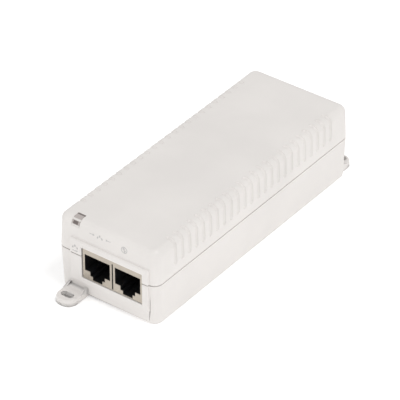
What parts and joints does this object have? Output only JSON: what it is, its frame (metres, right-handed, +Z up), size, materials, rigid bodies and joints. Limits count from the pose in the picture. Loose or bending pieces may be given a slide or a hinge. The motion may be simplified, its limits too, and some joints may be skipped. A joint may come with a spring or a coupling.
{
  "type": "power over ethernet injector",
  "caption": "Moulded box that adds power to a network line, with two shielded jacks at one end, a mains inlet at the other, finger grooves and two slotted ears.",
  "frame": {"origin": "middle of the base, where the case rests on a surface", "axes": "+X across the case, -Y towards the network jacks, +Z up"},
  "size_m": [0.0484, 0.148, 0.0344],
  "materials": {
    "cover": "fine moulded texture, warm white",
    "case": "fine moulded texture, warm white",
    "window": "smoky clear moulding",
    "shield": "nickel-plated sheet",
    "black_insert": "black moulding",
    "contact_gold": "gold-plated wire",
    "lead_tin": "tinned wire",
    "inlet_black": "black moulding",
    "blade_metal": "nickel-plated brass blades",
    "board_green": "solder-resist laminate",
    "film": "polyester film",
    "fuse_body": "moulded fuse body",
    "disc_blue": "dipped disc",
    "film_yellow": "film capacitor box",
    "ferrite": "sintered ferrite",
    "ring_green": "coated ring core",
    "enamel_copper": "enamelled copper wire",
    "chip_black": "moulding compound",
    "sleeve": "shrink sleeve",
    "heatsink_metal": "extruded",
    "tape_yellow": "polyester tape",
    "opto_white": "moulded body",
    "light_diode": "clear resin",
    "screw_steel": "zinc plated",
    "label": "blank silver-grey label"
  },
  "bodies": {
    "housing": {"top_cover": "cover", "bottom_case": "case", "light_pipe": "window", "jack_shield": "shield", "jack_housing": "black_insert", "jack_leads": "lead_tin", "inlet_body": "inlet_black", "inlet_pins": "blade_metal", "main_board": "board_green", "insulation_sheet": "film", "fuse": "fuse_body", "varistor": "disc_blue", "x_capacitor": "film_yellow", "choke_core": "ring_green", "choke_windings": "enamel_copper", "choke_base": "chip_black", "bridge_rectifier": "chip_black", "bulk_capacitor": "sleeve", "primary_heatsink": "heatsink_metal", "switching_transistor": "chip_black", "transformer_core": "ferrite", "transformer_bobbin": "chip_black", "transformer_winding": "tape_yellow", "optocoupler": "opto_white", "y_capacitors": "disc_blue", "output_rectifier": "chip_black", "secondary_heatsink": "heatsink_metal", "output_capacitors": "sleeve", "inductor_core": "ferrite", "inductor_winding": "enamel_copper", "controller_chips": "chip_black", "signal_transformers": "chip_black", "status_lights": "light_diode", "board_screws": "screw_steel", "case_screws": "screw_steel", "rating_label": "label"},
    "data_in_springs": {"data_in_contacts": "contact_gold"},
    "power_out_springs": {"power_out_contacts": "contact_gold"}
  },
  "joints": [
    {"name": "data_in_springs_flex", "type": "hinge", "parent": "housing", "child": "data_in_springs", "pos_m": [-0.00435, -0.06185, 0.02], "axis": [1, 0, 0], "range_deg": [0, 10], "stiffness_Nm_per_rad": 0.02},
    {"name": "power_out_springs_flex", "type": "hinge", "parent": "housing", "child": "power_out_springs", "pos_m": [0.01045, -0.06185, 0.02], "axis": [1, 0, 0], "range_deg": [0, 10], "stiffness_Nm_per_rad": 0.02}
  ]
}
